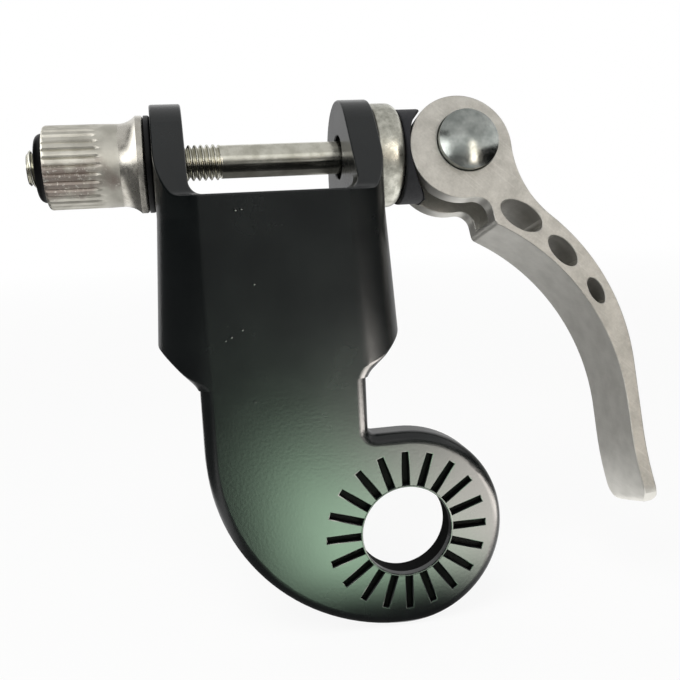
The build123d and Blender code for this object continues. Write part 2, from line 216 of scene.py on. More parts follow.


# Aluminium turned on a lathe: smooth and warm grey, with one pitted side painted with a brownish reflection
# and bright glints
def turnedAluminium():
    look = {"shades": ("#c0bdb2", "#d8d5ca"), "tones": (0.35, 0.65), "cloud": 2.5 * mm,
            "pitReflectionShades": ("#95867e", "#f4f2ea"), "pitReflectionTones": (0.56, 0.66), "pit": 0.5 * mm,
            "pitReflectionAt": (-51.5 * mm, 12.6 * mm, 58.8 * mm), "pitReflectionSize": (8 * mm, 6 * mm, 2.6 * mm),
            "pitReflectionEdge": (0.3, -0.4), "pitReflectionMost": 0.75, "patch": 3 * mm, "ragged": 2.4,
            "ring": 0.4 * mm, "ringDepth": 0.12,        # rings coarser than real ones, to show
            "glossSpan": (0.0, 1.0), "rough": (0.42, 0.54), "bump": 0.35, "depth": 0.05 * mm}
    material, tree, place = newMaterial("turnedAluminium")
    rings = addNode(tree, "ShaderNodeTexWave",
                    {"Vector": place, "Scale": 1 / (math.pi * look["ring"]), "Distortion": 0.6,
                     "Detail": 2.0}, wave_type="BANDS", bands_direction="X")
    patch = addNode(tree, "ShaderNodeTexNoise", {"Vector": place, "Scale": 1 / look["patch"], "Detail": 3.0})
    pits = addNode(tree, "ShaderNodeTexNoise",
                   {"Vector": place, "Scale": 1 / look["pit"], "Detail": 4.0, "Roughness": 0.65})
    cloud = addNode(tree, "ShaderNodeTexNoise", {"Vector": place, "Scale": 1 / look["cloud"], "Detail": 4.0})
    bareMetal = twoTone(tree, cloud, look["tones"], look["shades"])
    paintedReflection = twoTone(tree, pits, look["pitReflectionTones"], look["pitReflectionShades"])
    # The pitted side with its painted reflection and glints is a lump-shaped region with a ragged edge
    offset = addNode(tree, "ShaderNodeVectorMath", {0: place, 1: look["pitReflectionAt"]}, operation="SUBTRACT")
    scaled = addNode(tree, "ShaderNodeVectorMath", {0: offset, 1: look["pitReflectionSize"]}, operation="DIVIDE")
    reach = addNode(tree, "ShaderNodeVectorMath", {0: scaled}, operation="LENGTH").outputs["Value"]
    ragged = addNode(tree, "ShaderNodeMath", {0: patch, 1: look["ragged"], 2: reach},
                     operation="MULTIPLY_ADD")
    edge = 1 + look["ragged"] / 2
    pitReflection = addNode(tree, "ShaderNodeMapRange",
                   {"Value": ragged, "From Min": edge + look["pitReflectionEdge"][0],
                    "From Max": edge + look["pitReflectionEdge"][1], "To Max": look["pitReflectionMost"]})
    shade = addNode(tree, "ShaderNodeMix", {"Factor": pitReflection, "A": bareMetal, "B": paintedReflection}, data_type="RGBA")
    pitted = addNode(tree, "ShaderNodeMath", {0: pits, 1: pitReflection}, operation="MULTIPLY")
    height = addNode(tree, "ShaderNodeMath", {0: rings, 1: look["ringDepth"], 2: pitted},
                     operation="MULTIPLY_ADD")
    closeSurface(tree, look, shade, pitReflection, height)
    return material


# Dull black with a fine grain, coarser than real to show: moulded plastic, nylon, and dry powder darkened as
# painted shade
def dullBlack(name, shades, grain, cloud, rough, ior):
    look = {"tones": (0.35, 0.7), "glossSpan": (0.3, 0.7), "rough": (rough - 0.05, rough + 0.08), "bump": 0.2,
            "depth": 0.03 * mm, "ior": ior}
    material, tree, place = newMaterial(name)
    cloudy = addNode(tree, "ShaderNodeTexNoise", {"Vector": place, "Scale": 1 / cloud, "Detail": 4.0})
    grainy = addNode(tree, "ShaderNodeTexNoise", {"Vector": place, "Scale": 1 / grain, "Detail": 3.0})
    closeSurface(tree, look, twoTone(tree, cloudy, look["tones"], shades), grainy, grainy)
    return material


powderCoat = blackPowderCoat()
zincPlate = zincPlatedSteel()
nickel = polishedMetal("polishedNickel", shades=("#8f9490", "#b9bdb8"), rough=0.13)
footAluminium = polishedMetal("polishedAluminium", shades=("#bbb7ad", "#d6d2c8"), rough=0.22)
washerZinc = mottledZinc()
leverSides = tumbledAluminium()
leverSkin = extrudedAluminium("extrudedAluminium", shades=("#cfcdc6", "#dcdad3"), rough=0.46)
# The window walls: rougher aluminium whose darker colour is painted shade in the hollows
leverHollowShade = extrudedAluminium("unpolishedAluminium", shades=("#b2b0aa", "#c4c2bc"), rough=0.6)
leverEdgeHighlight = burnishedEdge()
nutAluminium = turnedAluminium()
saddlePlastic = dullBlack("mouldedBlackPlastic", shades=("#131418", "#1d1e23"), grain=0.4 * mm,
                          cloud=5 * mm, rough=0.6, ior=1.5)
nylon = dullBlack("blackNylon", shades=("#060607", "#0c0c0d"), grain=0.4 * mm, cloud=5 * mm, rough=0.42,
                  ior=1.38)
# Thin, dry powder in the grooves and the hole, where the spray barely reaches: next to no gloss, and a colour
# darker than the coat as painted shade in these recesses
dryPowderShade = dullBlack("dryPowderCoat", shades=("#050505", "#0b0b0b"), grain=0.2 * mm, cloud=3 * mm,
                      rough=0.75, ior=1.15)
print("materials ready")


def newPiece(name, mesh, body, slot, *nodes):
    piece = bpy.data.objects.new(name, mesh)
    bpy.context.scene.collection.objects.link(piece)
    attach(piece, body)
    if nodes:
        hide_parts(*nodes)
    return piece


def wallsOf(mesh):
    return BVHTree.FromPolygons([v.co for v in mesh.vertices], [p.vertices[:] for p in mesh.polygons])


softValues = {"weld": 0.002 * mm, "flat": 0.3}        # flat: degrees below which faces are joined


# A copy of a CAD node with its sharp edges rounded; it keeps the solid's own shading normals
def softened(node, name, values, materials, leaveSharp=lambda edge: False, isFine=lambda edge: False):
    source = frame["nodes"][node].data
    surface = wallsOf(source)
    mesh = bmesh.new()
    mesh.from_mesh(source)
    normal = mesh.loops.layers.float_vector.new("solidNormal")
    for face, polygon in zip(mesh.faces, source.polygons):
        for loop, corner in zip(face.loops, polygon.loop_indices):
            loop[normal] = source.corner_normals[corner].vector
    bmesh.ops.remove_doubles(mesh, verts=mesh.verts, dist=softValues["weld"])

    def isSharp(edge):
        if len(edge.link_loops) != 2:
            return False
        a, b = edge.link_loops
        pairs = ((a, b.link_loop_next), (a.link_loop_next, b))
        return max(p[normal].angle(q[normal], 0) for p, q in pairs) > math.radians(values["fromAngle"])

    def rounded(edges, size, slot):
        made = bmesh.ops.bevel(mesh, geom=edges, offset=size, offset_type="OFFSET", segments=values["steps"],
                               profile=0.5, affect="EDGES", clamp_overlap=False, material=slot)
        return set(made["faces"])

    smooth = [edge for edge in mesh.edges if not isSharp(edge)]
    bmesh.ops.dissolve_limit(mesh, angle_limit=math.radians(softValues["flat"]), verts=mesh.verts,
                             edges=smooth)
    sharp = [edge for edge in mesh.edges if isSharp(edge) and not leaveSharp(edge)]
    strip = rounded(sharp, values["round"], len(materials) - 1 if values.get("edgeMaterial") else -1)
    fine = [edge for edge in mesh.edges if isFine(edge)]
    if fine:
        strip |= rounded(fine, values["fineRound"], -1)
    for vert in {vert for face in strip for vert in face.verts}:
        near, side, index, gap = surface.find_nearest(vert.co)
        if gap > values["round"]:        # a corner too tight for the round goes back to the solid
            vert.co = near
    large = [face for face in mesh.faces if len(face.verts) > 4 and face not in strip]
    bmesh.ops.triangulate(mesh, faces=large)
    plain = {vert: [loop for loop in vert.link_loops if loop.face not in strip] for vert in mesh.verts}
    for face in strip:
        beside = {other for edge in face.edges for other in edge.link_faces if other not in strip}
        for loop in face.loops:
            near = [other for other in plain[loop.vert] if other.face in beside] or plain[loop.vert]
            around = [other[normal] for other in near] or [other.normal for other in loop.vert.link_faces]
            loop[normal] = sum(around, Vector()).normalized()
    normals = []
    for face in mesh.faces:
        face.smooth = True
        normals += [loop[normal].normalized() for loop in face.loops]
    mesh.loops.layers.float_vector.remove(normal)
    made = bpy.data.meshes.new(name)
    mesh.to_mesh(made)
    mesh.free()
    made.normals_split_custom_set(normals)
    made.materials.clear()
    for material in materials:
        made.materials.append(material)
    return made


bracketValues = {"round": 0.3 * mm, "steps": 2, "fromAngle": 20, "eyeReach": 13.6 * mm,
                 "grooveFloor": 1.0 * mm, "shoulder": 26.0 * mm, "shoulderReach": 1.5 * mm,
                 "skin": 0.24 * mm, "back": 4.9 * mm, "fineRound": 0.22 * mm, "holeReach": 7.6 * mm,
                 "rimAngle": 1.0}        # rimAngle in radians


def staysSharp(edge):        # the serrations, and the corner where each shoulder meets the neck
    v, middle = bracketValues, (edge.verts[0].co + edge.verts[1].co) / 2
    serration = math.hypot(middle.x, middle.z) < v["eyeReach"] and middle.y < v["grooveFloor"]
    return serration or abs(middle.z - v["shoulder"]) < v["shoulderReach"]


def isGrooveRim(edge):        # where a serration breaks the front face
    v, middle = bracketValues, (edge.verts[0].co + edge.verts[1].co) / 2
    onFace = max(abs(vert.co.y) for vert in edge.verts) < v["skin"]
    inRing = v["holeReach"] < math.hypot(middle.x, middle.z) < v["eyeReach"]
    return onFace and inRing and edge.is_manifold and edge.calc_face_angle() > v["rimAngle"]


bracketMesh = softened("hitch_bracket", "hitchBracket", bracketValues, [powderCoat, dryPowderShade], staysSharp,
                       isGrooveRim)
# Slot 1 gives the serrations and the axle hole their painted shade
for polygon in bracketMesh.polygons:        # slot 1: inside the serrations and the axle hole
    spot = polygon.center
    inside = math.hypot(spot.x, spot.z) < bracketValues["eyeReach"]
    if inside and bracketValues["skin"] < spot.y < bracketValues["back"]:
        polygon.material_index = 1
newPiece("hitchBracket", bracketMesh, "bracket", "black_powder_coat", "hitch_bracket")
print("bracket", len(bracketMesh.polygons))

leverValues = {"round": 0.2 * mm, "steps": 2, "fromAngle": 25, "edgeMaterial": True, "sideFacing": 0.9,
               "windowReach": 9 * mm, "windowFacing": -0.7, "lift": 0.01 * mm}
leverMesh = softened("cam_lever", "camLever", leverValues, [leverSides, leverSkin, leverHollowShade, leverEdgeHighlight])
leverWalls = wallsOf(leverMesh)
# Slot 2 gives the window walls their painted shade
for polygon in leverMesh.polygons:        # slot 0: sawn sides, slot 1: the die's skin, slot 2: hollows
    v, outward = leverValues, polygon.normal
    if polygon.material_index == 0 and abs(outward.dot(pivotAxis)) < v["sideFacing"]:
        begin = polygon.center + outward * v["lift"]
        hit, facing, index, gap = leverWalls.ray_cast(begin, outward, v["windowReach"])
        enclosed = hit is not None and facing.dot(outward) < v["windowFacing"]
        polygon.material_index = 2 if enclosed else 1
newPiece("camLever", leverMesh, "lever", "sawn_aluminium", "cam_lever")
print("lever", len(leverMesh.polygons))

saddleValues = {"round": 0.35 * mm, "steps": 3, "fromAngle": 25}
saddleMesh = softened("cam_saddle", "camSaddle", saddleValues, [saddlePlastic])
newPiece("camSaddle", saddleMesh, "skewer", "black_plastic", "cam_saddle")
print("saddle", len(saddleMesh.polygons))


# An outline of (along, radius, corner round) with its corners rounded
def roundedOutline(corners, steps=6):
    line = []
    for i, (x, r, size) in enumerate(corners):
        here = Vector((x, r))
        before = (Vector(corners[i - 1][:2]) - here).normalized()
        after = (Vector(corners[(i + 1) % len(corners)][:2]) - here).normalized()
        if size <= 0:
            line.append(here)
            continue
        half = before.angle(after) / 2
        back = size / math.tan(half)
        centre = here + (before + after).normalized() * (size / math.sin(half))
        spoke = here + before * back - centre
        sweep = spoke.angle_signed(here + after * back - centre)
        for k in range(steps + 1):
            turn = Matrix.Rotation(-sweep * k / steps, 2)
            line.append(centre + turn @ spoke)
    return line


# A closed outline turned about an axis; points on the axis become one pole each
def turned(name, line, around, material, at=skewerAt, axis=skewerAxis):
    side = axis.orthogonal().normalized()
    up = axis.cross(side)
    mesh = bmesh.new()
    poles = {i: mesh.verts.new(at + axis * p.x) for i, p in enumerate(line) if p.y <= 0}
    rows = []
    for k in range(around):
        turn = 2 * math.pi * k / around
        spoke = side * math.cos(turn) + up * math.sin(turn)
        rows.append([poles.get(i) or mesh.verts.new(at + axis * p.x + spoke * p.y)
                     for i, p in enumerate(line)])
    for k in range(around):
        a, b = rows[k], rows[(k + 1) % around]
        for i in range(len(line)):
            j = (i + 1) % len(line)
            corners = list(dict.fromkeys((a[i], a[j], b[j], b[i])))
            if len(corners) > 2:
                mesh.faces.new(corners)
    bmesh.ops.recalc_face_normals(mesh, faces=mesh.faces)
    for face in mesh.faces:
        face.smooth = True
    made = bpy.data.meshes.new(name)
    mesh.to_mesh(made)
    mesh.free()
    made.set_sharp_from_angle(angle=math.radians(creases["turned"]))
    made.materials.append(material)
    return made


def spanOf(node):
    low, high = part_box(node)
    return low.x, high.x, (high.z - low.z) / 2


barrelValues = {"radius": 5.2 * mm, "half": 7.5 * mm, "dome": 1.2 * mm, "steps": 16, "around": 128}


def barrelOutline():
    radius, half, dome = (barrelValues[key] for key in ("radius", "half", "dome"))
    ball = (radius ** 2 + dome ** 2) / (2 * dome)
    lean = math.asin(radius / ball)
    end = []
    for k in range(barrelValues["steps"] + 1):
        turn = lean * k / barrelValues["steps"]
        end.append(Vector((half + dome - ball + ball * math.cos(turn), ball * math.sin(turn))))
    return end + [Vector((-p.x, p.y)) for p in reversed(end)]


barrelMesh = turned("pivotBarrel", barrelOutline(), barrelValues["around"], nickel, pivotAt, pivotAxis)
newPiece("pivotBarrel", barrelMesh, "skewer", "polished_steel", "pivot_barrel")

cupValues = {"bore": 3.15 * mm, "earRim": 0.7 * mm, "camRim": 1.9 * mm, "steps": 10, "around": 128}
start, end, radius = spanOf("cup_washer")
cupLine = roundedOutline([(start, cupValues["bore"], 0), (start, radius, cupValues["earRim"]),
                          (end, radius, cupValues["camRim"]), (end, cupValues["bore"], 0)],
                         cupValues["steps"])
cupMesh = turned("cupWasher", cupLine, cupValues["around"], washerZinc)
newPiece("cupWasher", cupMesh, "skewer", "polished_steel", "cup_washer")

washerValues = {"bore": 3.35 * mm, "earRim": 0.35 * mm, "nutRim": 0.15 * mm, "around": 128}
start, end, radius = spanOf("nut_washer")
washerLine = roundedOutline([(start, washerValues["bore"], 0), (start, radius, washerValues["nutRim"]),
                             (end, radius, washerValues["earRim"]), (end, washerValues["bore"], 0)])
washerMesh = turned("nutWasher", washerLine, washerValues["around"], nylon)
newPiece("nutWasher", washerMesh, "nut_seat", "black_nylon", "nut_washer")

collarValues = {"bore": 3.0 * mm, "crown": 1.15 * mm, "inner": 0.3 * mm, "steps": 8, "around": 128}
start, end, radius = spanOf("nylon_insert")
collarLine = roundedOutline([(start, collarValues["bore"], collarValues["inner"]),
                             (start, radius, collarValues["crown"]), (end, radius, 0),
                             (end, collarValues["bore"], 0)], collarValues["steps"])
collarMesh = turned("nylonInsert", collarLine, collarValues["around"], nylon)
newPiece("nylonInsert", collarMesh, "nut", "black_nylon", "nylon_insert")

# A bead of paint round the axle hole's front edge closes the inner ends of the serrations
beadValues = {"bore": 7.44 * mm, "outer": 7.85 * mm, "proud": 0.03 * mm, "depth": 1.3 * mm,
              "round": 0.2 * mm, "around": 160}
bore, outer, proud, depth, corner = (beadValues[key] for key in ("bore", "outer", "proud", "depth", "round"))
beadLine = roundedOutline([(-depth, bore, 0), (proud, bore, corner), (proud, outer, corner),
                           (-depth, outer, 0)])
beadMesh = turned("holeBead", beadLine, beadValues["around"], powderCoat, Vector(), Vector((0, -1, 0)))
newPiece("holeBead", beadMesh, "bracket", "black_powder_coat")
print("barrel, washers, collar and bead ready")


# A tree's inputs are set by identifier, and its result becomes a plain mesh
def runTree(tree, source, values):
    holder = bpy.data.objects.new(source.name, source)
    bpy.context.scene.collection.objects.link(holder)
    modifier = holder.modifiers.new("maker", "NODES")
    modifier.node_group = tree
    for item in tree.interface.items_tree:
        if item.item_type == "SOCKET" and item.in_out == "INPUT" and item.name in values:
            modifier[item.identifier] = values[item.name]
    bpy.context.view_layer.update()
    made = bpy.data.meshes.new_from_object(holder.evaluated_get(bpy.context.evaluated_depsgraph_get()))
    holder.modifiers.remove(modifier)
    bpy.data.objects.remove(holder)
    return made


def newTree(name, inputs):
    tree = bpy.data.node_groups.new(name, "GeometryNodeTree")
    tree.interface.new_socket("Geometry", in_out="INPUT", socket_type="NodeSocketGeometry")
    tree.interface.new_socket("Geometry", in_out="OUTPUT", socket_type="NodeSocketGeometry")
    for label, kind in inputs.items():
        tree.interface.new_socket(label, in_out="INPUT", socket_type="NodeSocket" + kind)
    return tree, addNode(tree, "NodeGroupInput").outputs


def closeTree(tree, geometry, material):
    real = addNode(tree, "GeometryNodeRealizeInstances", {"Geometry": geometry})
    coated = addNode(tree, "GeometryNodeSetMaterial", {"Geometry": real, "Material": material})
    addNode(tree, "NodeGroupOutput", {"Geometry": coated})


# Skewer rod: one bar whose radius follows a screw line over the threaded part
def threadTree():
    tree, size = newTree("cutThread", {
        "Length": "Float", "Pitch": "Float", "Crest": "Float", "Depth": "Float", "Root": "Float",
        "Top": "Float", "Shank": "Float", "Threaded": "Float", "Runout": "Float", "Tip": "Float",
        "Start": "Vector", "Around": "Int", "Rows": "Int", "Material": "Material"})
    bar = addNode(tree, "GeometryNodeMeshCylinder",
                  {"Vertices": size["Around"], "Side Segments": size["Rows"], "Radius": 1.0,
                   "Depth": size["Length"]}, fill_type="TRIANGLE_FAN")
    xyz = addNode(tree, "ShaderNodeSeparateXYZ", {0: addNode(tree, "GeometryNodeInputPosition")}).outputs
    along = addNode(tree, "ShaderNodeMath", {0: size["Length"], 1: 0.5, 2: xyz["Z"]},
                    operation="MULTIPLY_ADD")
    angle = addNode(tree, "ShaderNodeMath", {0: xyz["Y"], 1: xyz["X"]}, operation="ARCTAN2")
    turn = addNode(tree, "ShaderNodeMath", {0: angle, 1: 2 * math.pi}, operation="DIVIDE")
    rise = addNode(tree, "ShaderNodeMath", {0: along, 1: size["Pitch"]}, operation="DIVIDE")
    lag = addNode(tree, "ShaderNodeMath", {0: rise, 1: turn}, operation="SUBTRACT")
    phase = addNode(tree, "ShaderNodeMath", {0: lag}, operation="FRACT")
    swing = addNode(tree, "ShaderNodeMath", {0: phase, 1: 2.0, 2: -1.0}, operation="MULTIPLY_ADD")
    ridge = addNode(tree, "ShaderNodeMath", {0: swing}, operation="ABSOLUTE")
    soft = addNode(tree, "ShaderNodeMapRange",
                   {"Value": ridge, "From Min": size["Root"], "From Max": size["Top"], "To Min": -1.0,
                    "To Max": 0.0}, interpolation_type="SMOOTHSTEP")
    crest = addNode(tree, "ShaderNodeMath", {0: soft, 1: size["Depth"], 2: size["Crest"]},
                    operation="MULTIPLY_ADD")
    fadeFrom = addNode(tree, "ShaderNodeMath", {0: size["Threaded"], 1: size["Runout"]}, operation="SUBTRACT")
    plain = addNode(tree, "ShaderNodeMapRange",
                    {"Value": along, "From Min": fadeFrom, "From Max": size["Threaded"]},
                    interpolation_type="SMOOTHSTEP")
    both = addNode(tree, "ShaderNodeMix", {"Factor": plain, "A": crest, "B": size["Shank"]})
    tipRadius = addNode(tree, "ShaderNodeMath", {0: size["Crest"], 1: size["Tip"]}, operation="SUBTRACT")
    cone = addNode(tree, "ShaderNodeMath", {0: tipRadius, 1: along}, operation="ADD")
    radius = addNode(tree, "ShaderNodeMath", {0: both, 1: cone}, operation="MINIMUM")
    x = addNode(tree, "ShaderNodeMath", {0: xyz["X"], 1: radius}, operation="MULTIPLY")
    y = addNode(tree, "ShaderNodeMath", {0: xyz["Y"], 1: radius}, operation="MULTIPLY")
    spot = addNode(tree, "ShaderNodeCombineXYZ", {"X": x, "Y": y, "Z": along})
    shaped = addNode(tree, "GeometryNodeSetPosition", {"Geometry": bar, "Position": spot})
    laid = addNode(tree, "GeometryNodeTransform",
                   {"Geometry": shaped, "Translation": size["Start"], "Rotation": (0.0, math.pi / 2, 0.0)})
    closeTree(tree, laid, size["Material"])
    return tree


rodLow, rodHigh, rodRadius = spanOf("skewer_rod")
rodValues = {"Length": rodHigh - rodLow, "Pitch": 1.0 * mm, "Crest": rodRadius, "Depth": 0.55 * mm,
             "Root": 0.06, "Top": 0.9, "Shank": 2.75 * mm, "Threaded": 30.9 * mm, "Runout": 0.9 * mm,
             "Tip": 0.5 * mm, "Start": (rodLow, skewerAt.y, skewerAt.z), "Around": 56, "Rows": 900,
             "Material": zincPlate}
rodMesh = runTree(threadTree(), bpy.data.meshes.new("skewerRod"), rodValues)
rodMesh.polygons.foreach_set("use_smooth", [True] * len(rodMesh.polygons))
rodMesh.set_sharp_from_angle(angle=math.radians(creases["thread"]))
newPiece("skewerRod", rodMesh, "skewer", "plated_steel", "skewer_rod")
print("rod", len(rodMesh.polygons))


# Thumb nut: a turned blank, then flutes cut all round its outer end
def fluteTree():
    tree, size = newTree("cutFlutes", {
        "Count": "Int", "Radius": "Float", "Depth": "Float", "Width": "Float", "Start": "Float",
        "Reach": "Float", "Fade": "Float", "Centre": "Vector", "Material": "Material"})
    place = addNode(tree, "GeometryNodeInputPosition")
    offset = addNode(tree, "ShaderNodeVectorMath", {0: place, 1: size["Centre"]}, operation="SUBTRACT")
    xyz = addNode(tree, "ShaderNodeSeparateXYZ", {0: offset}).outputs
    flat = addNode(tree, "ShaderNodeCombineXYZ", {"Y": xyz["Y"], "Z": xyz["Z"]})
    radius = addNode(tree, "ShaderNodeVectorMath", {0: flat}, operation="LENGTH").outputs["Value"]
    angle = addNode(tree, "ShaderNodeMath", {0: xyz["Z"], 1: xyz["Y"]}, operation="ARCTAN2")
    turn = addNode(tree, "ShaderNodeMath", {0: angle, 1: 2 * math.pi}, operation="DIVIDE")
    count = addNode(tree, "ShaderNodeMath", {0: turn, 1: size["Count"], 2: 0.5}, operation="MULTIPLY_ADD")
    share = addNode(tree, "ShaderNodeMath", {0: count}, operation="FRACT")
    lean = addNode(tree, "ShaderNodeMath", {0: share, 1: 0.5}, operation="SUBTRACT")
    away = addNode(tree, "ShaderNodeMath", {0: lean}, operation="ABSOLUTE")
    notch = addNode(tree, "ShaderNodeMapRange", {"Value": away, "From Min": size["Width"], "From Max": 0.0})
    along = addNode(tree, "ShaderNodeMath", {0: xyz["X"], 1: size["Start"]}, operation="SUBTRACT")
    fadeFrom = addNode(tree, "ShaderNodeMath", {0: size["Reach"], 1: size["Fade"]}, operation="SUBTRACT")
    fade = addNode(tree, "ShaderNodeMapRange",
                   {"Value": along, "From Min": size["Reach"], "From Max": fadeFrom})
    part = addNode(tree, "ShaderNodeMath", {0: notch, 1: fade}, operation="MULTIPLY")
    cut = addNode(tree, "ShaderNodeMath", {0: part, 1: size["Depth"]}, operation="MULTIPLY")
    floor = addNode(tree, "ShaderNodeMath", {0: size["Radius"], 1: cut}, operation="SUBTRACT")
    lower = addNode(tree, "ShaderNodeMath", {0: radius, 1: floor}, operation="MINIMUM")
    scale = addNode(tree, "ShaderNodeMath", {0: lower, 1: radius}, operation="DIVIDE")
    y = addNode(tree, "ShaderNodeMath", {0: xyz["Y"], 1: scale}, operation="MULTIPLY")
    z = addNode(tree, "ShaderNodeMath", {0: xyz["Z"], 1: scale}, operation="MULTIPLY")
    spot = addNode(tree, "ShaderNodeCombineXYZ", {"X": xyz["X"], "Y": y, "Z": z})
    moved = addNode(tree, "ShaderNodeVectorMath", {0: spot, 1: size["Centre"]}, operation="ADD")
    keep = addNode(tree, "FunctionNodeCompare", {"A": along, "B": size["Reach"]},
                   data_type="FLOAT", operation="LESS_THAN")
    shaped = addNode(tree, "GeometryNodeSetPosition",
                     {"Geometry": size["Geometry"], "Selection": keep, "Position": moved})
    closeTree(tree, shaped, size["Material"])
    return tree


nutValues = {"bore": 3.0 * mm, "seat": 5.5 * mm, "seatDepth": 3.0 * mm, "body": 6.7 * mm, "bevel": 0.6 * mm,
             "bevelSteps": 6, "fluted": 9.0 * mm, "waist": 0.05 * mm, "rim": 1.2 * mm, "foot": 4.0 * mm,
             "lip": 0.45 * mm, "flareSteps": 14, "around": 384, "rowGap": 0.35 * mm}
nutStart, nutEnd, footRadius = spanOf("thumb_nut")
fluteValues = {"Count": 32, "Radius": nutValues["body"], "Depth": 0.3 * mm, "Width": 0.26, "Start": nutStart,
               "Reach": nutValues["fluted"], "Fade": 1.2 * mm, "Centre": tuple(skewerAt),
               "Material": nutAluminium}


def nutOutline():
    v = nutValues
    body, waist, bevel = v["body"], v["body"] - v["waist"], v["bevel"]
    flareStart, rimStart = nutEnd - v["foot"], nutEnd - v["rim"]
    line = [Vector((nutStart + v["seatDepth"], v["bore"])), Vector((nutStart + v["seatDepth"], v["seat"])),
            Vector((nutStart, v["seat"]))]
    for k in range(v["bevelSteps"], -1, -1):        # rounded outer corner
        turn = math.pi / 2 * k / v["bevelSteps"]
        line.append(Vector((nutStart + bevel * (1 - math.sin(turn)), body - bevel * (1 - math.cos(turn)))))
    rows = int((flareStart - nutStart - bevel) / v["rowGap"])
    for k in range(1, rows + 1):
        x = nutStart + bevel + (flareStart - nutStart - bevel) * k / rows
        dip = min(max((x - nutStart - v["fluted"]) / (flareStart - nutStart - v["fluted"]), 0), 1)
        line.append(Vector((x, body - v["waist"] * dip * dip * (3 - 2 * dip))))
    rise, length = footRadius - waist, rimStart - flareStart
    arc = (length ** 2 + rise ** 2) / (2 * rise)        # hollow curve that leaves the body without a corner
    for k in range(1, v["flareSteps"] + 1):
        x = length * k / v["flareSteps"]
        line.append(Vector((flareStart + x, waist + arc - math.sqrt(arc ** 2 - x ** 2))))
    rimLine = roundedOutline([(rimStart, footRadius, 0.0), (nutEnd, footRadius, v["lip"]),
                              (nutEnd, v["bore"], 0.0)])
    return line + rimLine[1:]


nutBlank = turned("thumbNut", nutOutline(), nutValues["around"], nutAluminium)
nutMesh = runTree(fluteTree(), nutBlank, fluteValues)
nutMesh.set_sharp_from_angle(angle=math.radians(creases["flutes"]))
nutMesh.materials.append(footAluminium)        # the foot is polished, the body is worn dull
for polygon in nutMesh.polygons:
    if polygon.center.x > nutEnd - nutValues["foot"]:
        polygon.material_index = 1
newPiece("thumbNut", nutMesh, "nut", "turned_aluminium", "thumb_nut")
print("nut", len(nutMesh.polygons))


# Nibs in the paint: low drops on the front of the plate
def nibTree():
    tree, size = newTree("paintNibs", {
        "Radius": "Float", "Height": "Float", "Smallest": "Float", "Largest": "Float", "Seed": "Int",
        "Material": "Material"})
    flatness = addNode(tree, "ShaderNodeMath", {0: size["Height"], 1: size["Radius"]}, operation="DIVIDE")
    drop = addNode(tree, "GeometryNodeMeshIcoSphere", {"Radius": size["Radius"], "Subdivisions": 3})
    squash = addNode(tree, "ShaderNodeCombineXYZ", {"X": 1.0, "Y": flatness, "Z": 1.0})
    spread = addNode(tree, "FunctionNodeRandomValue",
                     {"Min": size["Smallest"], "Max": size["Largest"], "Seed": size["Seed"]},
                     data_type="FLOAT")
    scale = addNode(tree, "ShaderNodeVectorMath", {0: squash, "Scale": spread}, operation="SCALE")
    placed = addNode(tree, "GeometryNodeInstanceOnPoints",
                     {"Points": size["Geometry"], "Instance": drop, "Scale": scale})
    closeTree(tree, placed, size["Material"])
    return tree


nibValues = {"Radius": 0.22 * mm, "Height": 0.13 * mm, "Smallest": 0.7, "Largest": 1.3, "Seed": 4,
             "Material": powderCoat}
nibPlaces = [(-22.5, 41.9), (-26.8, 35.8), (-26.4, 34.1), (-27.3, 33.6), (-24.7, 35.1), (-16.9, 32.5),
             (-21.5, 27.6), (-23.5, 23.8), (-24.6, 53.0), (-23.7, 53.1)]        # x and z in mm
nibPoints = bpy.data.meshes.new("paintNibs")
nibPoints.from_pydata([(x * mm, 0.0, z * mm) for x, z in nibPlaces], [], [])
nibMesh = runTree(nibTree(), nibPoints, nibValues)
nibMesh.polygons.foreach_set("use_smooth", [True] * len(nibMesh.polygons))
newPiece("paintNibs", nibMesh, "bracket", "black_powder_coat")
print("nibs", len(nibMesh.polygons))


# Stage: pale floor and white surroundings
stageValues = {"floorZ": -16.6 * mm, "floorHalf": 3.0, "ambient": 0.5, "paint": "#e8e8e6", "glow": 0.9,
               "fadeFrom": 0.2, "fadeTo": 0.9}
floorMesh = bpy.data.meshes.new("paleFloor")
h, z = stageValues["floorHalf"], stageValues["floorZ"]
floorMesh.from_pydata([(-h, -h, z), (h, -h, z), (h, h, z), (-h, h, z)], [], [(0, 1, 2, 3)])
paleFloor = bpy.data.objects.new("paleFloor", floorMesh)
bpy.context.scene.collection.objects.link(paleFloor)


# 1 for the camera, mirrors and glass, 0 for the light that falls on the object
def seenRays(tree):
    rays = addNode(tree, "ShaderNodeLightPath").outputs
    seen = rays["Is Camera Ray"]
    for kind in ("Is Glossy Ray", "Is Transmission Ray"):
        seen = addNode(tree, "ShaderNodeMath", {0: seen, 1: rays[kind]}, operation="MAXIMUM")
    return seen


# Matt white paint that fades to pure white far off; it keeps the object's shadow
def floorPaint():
    material, tree, place = newMaterial("floorPaint")
    away = addNode(tree, "ShaderNodeVectorMath", {0: place}, operation="LENGTH").outputs["Value"]
    glow = addNode(tree, "ShaderNodeMapRange",
                   {"Value": away, "From Min": stageValues["fadeFrom"], "From Max": stageValues["fadeTo"],
                    "To Min": stageValues["glow"], "To Max": 1.0})
    share = addNode(tree, "ShaderNodeMath", {0: seenRays(tree), 1: glow}, operation="MULTIPLY")
    paint = addNode(tree, "ShaderNodeBsdfDiffuse", {"Color": linear(stageValues["paint"])})
    white = addNode(tree, "ShaderNodeEmission", {"Strength": 1.0})
    closeMaterial(tree, addNode(tree, "ShaderNodeMixShader", {0: share, 1: paint, 2: white}))
    return material


floorMesh.materials.append(floorPaint())

